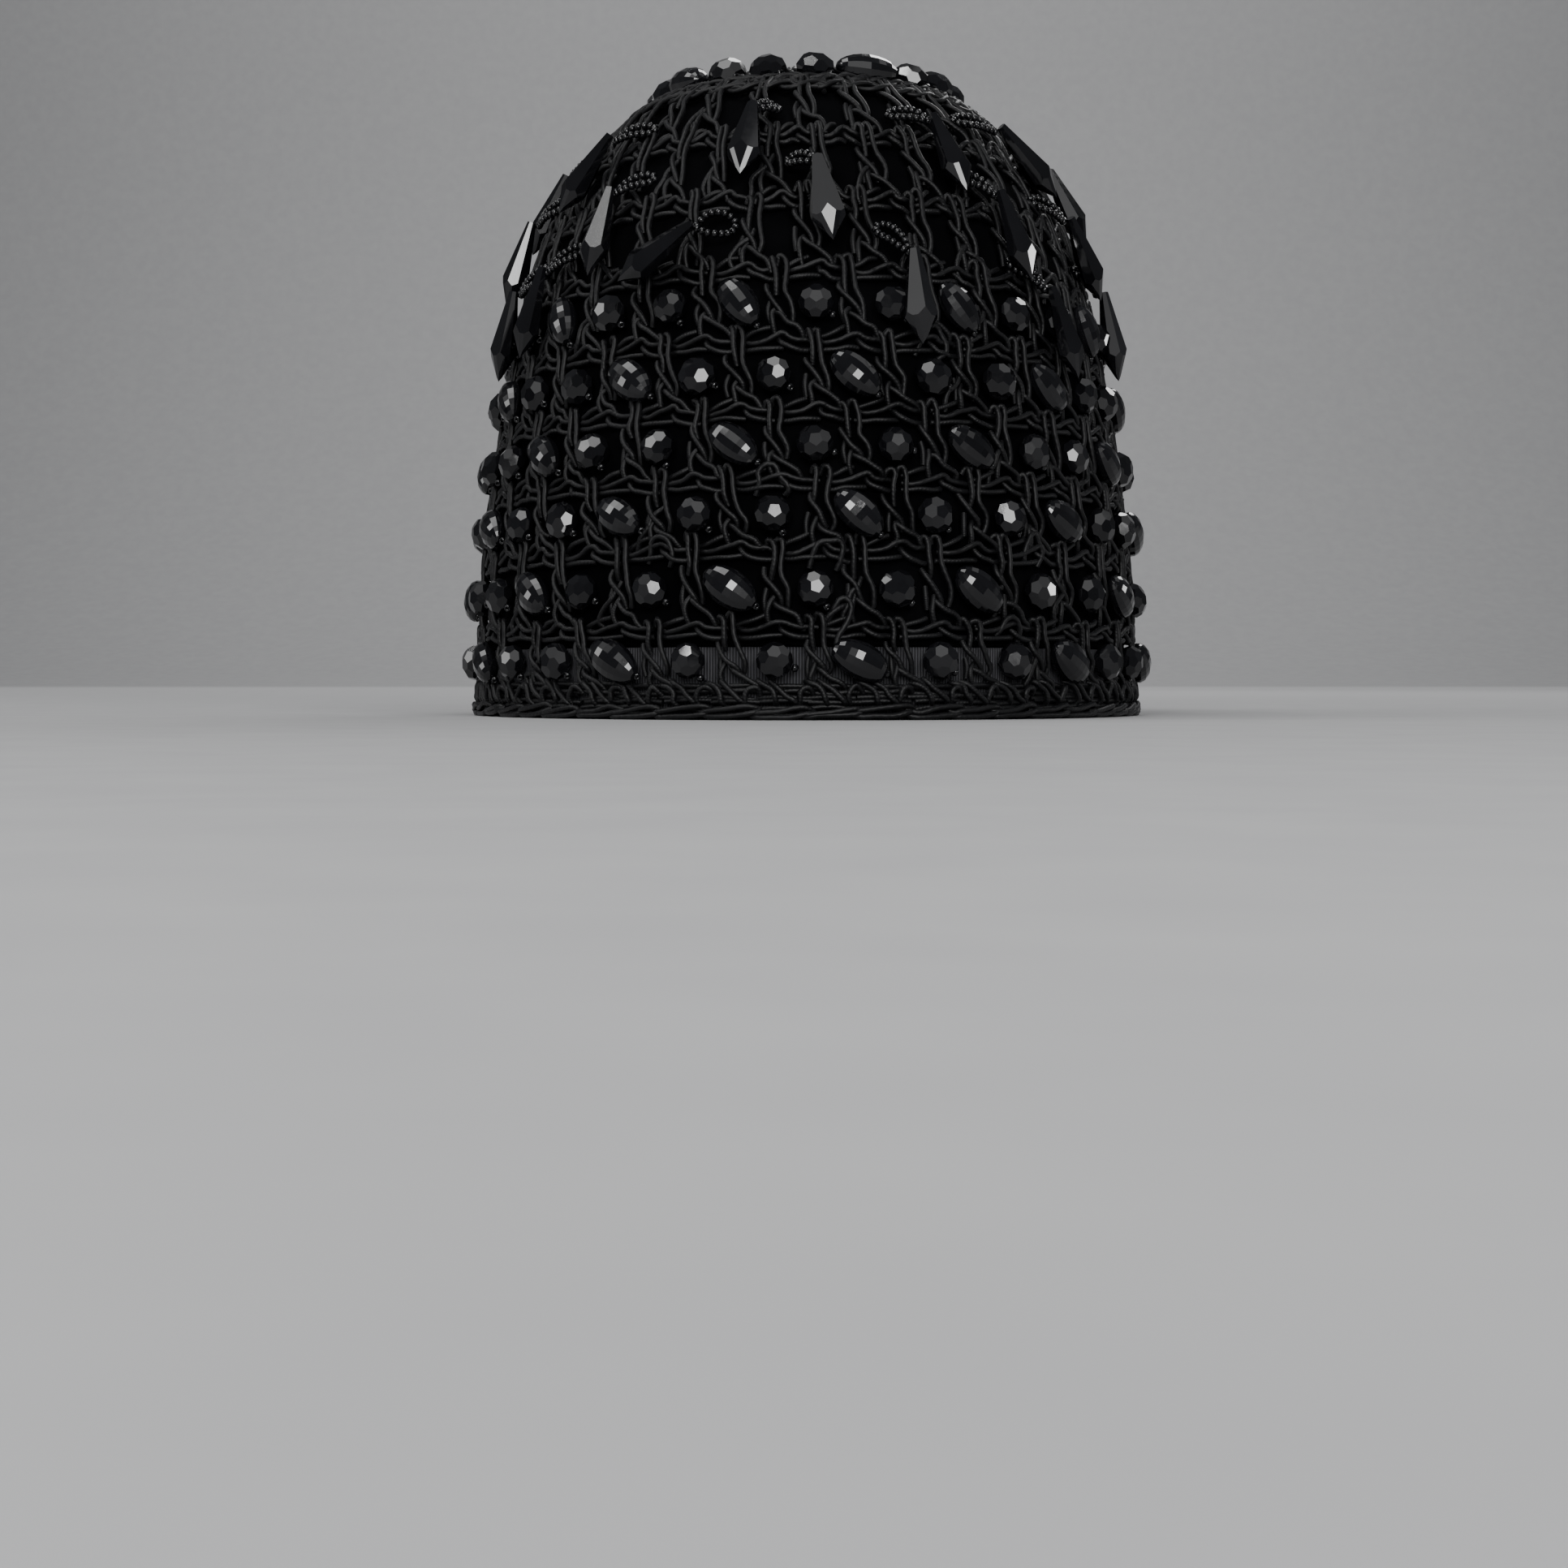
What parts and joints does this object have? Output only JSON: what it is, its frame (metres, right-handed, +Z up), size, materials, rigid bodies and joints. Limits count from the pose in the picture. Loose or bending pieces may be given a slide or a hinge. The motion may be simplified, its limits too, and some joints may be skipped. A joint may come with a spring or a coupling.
{
  "type": "church hat",
  "caption": "Tall domed cocktail hat: black velvet shell on a ribbon headband under an open crochet net, with faceted jet beads in its windows and long faceted drops above.",
  "frame": {"origin": "centre of the rim's oval, on the plane that the rim stands on", "axes": "+Z up from the rim to the top of the dome, -Y the front of the hat, +X the wearer's left"},
  "size_m": [0.1778, 0.2082, 0.1655],
  "materials": {
    "velvet": "close black velvet pile, matt",
    "ribbon": "dark grey grosgrain with upright ribs",
    "cord": "black crochet cord with a soft satin twist",
    "jet": "polished jet black, cut in facets"
  },
  "bodies": {
    "root": {"shell": "velvet", "headband": "ribbon", "crochet_net": "cord", "beads_a": "jet", "beads_b": "jet", "beads_c": "jet", "beads_d": "jet", "beads_e": "jet", "beads_f": "jet", "beads_top": "jet", "drop_01": "jet", "drop_02": "jet", "drop_03": "jet", "drop_04": "jet", "drop_05": "jet", "drop_06": "jet", "drop_07": "jet", "drop_08": "jet", "drop_09": "jet", "drop_10": "jet", "drop_11": "jet", "drop_12": "jet", "drop_13": "jet", "drop_14": "jet", "drop_15": "jet", "drop_16": "jet", "drop_17": "jet", "drop_18": "jet", "drop_19": "jet", "drop_20": "jet", "drop_21": "jet", "drop_22": "jet", "drop_23": "jet", "drop_24": "jet", "drop_25": "jet", "drop_26": "jet", "drop_27": "jet", "drop_28": "jet", "drop_29": "jet", "drop_30": "jet", "drop_31": "jet"}
  },
  "joints": []
}
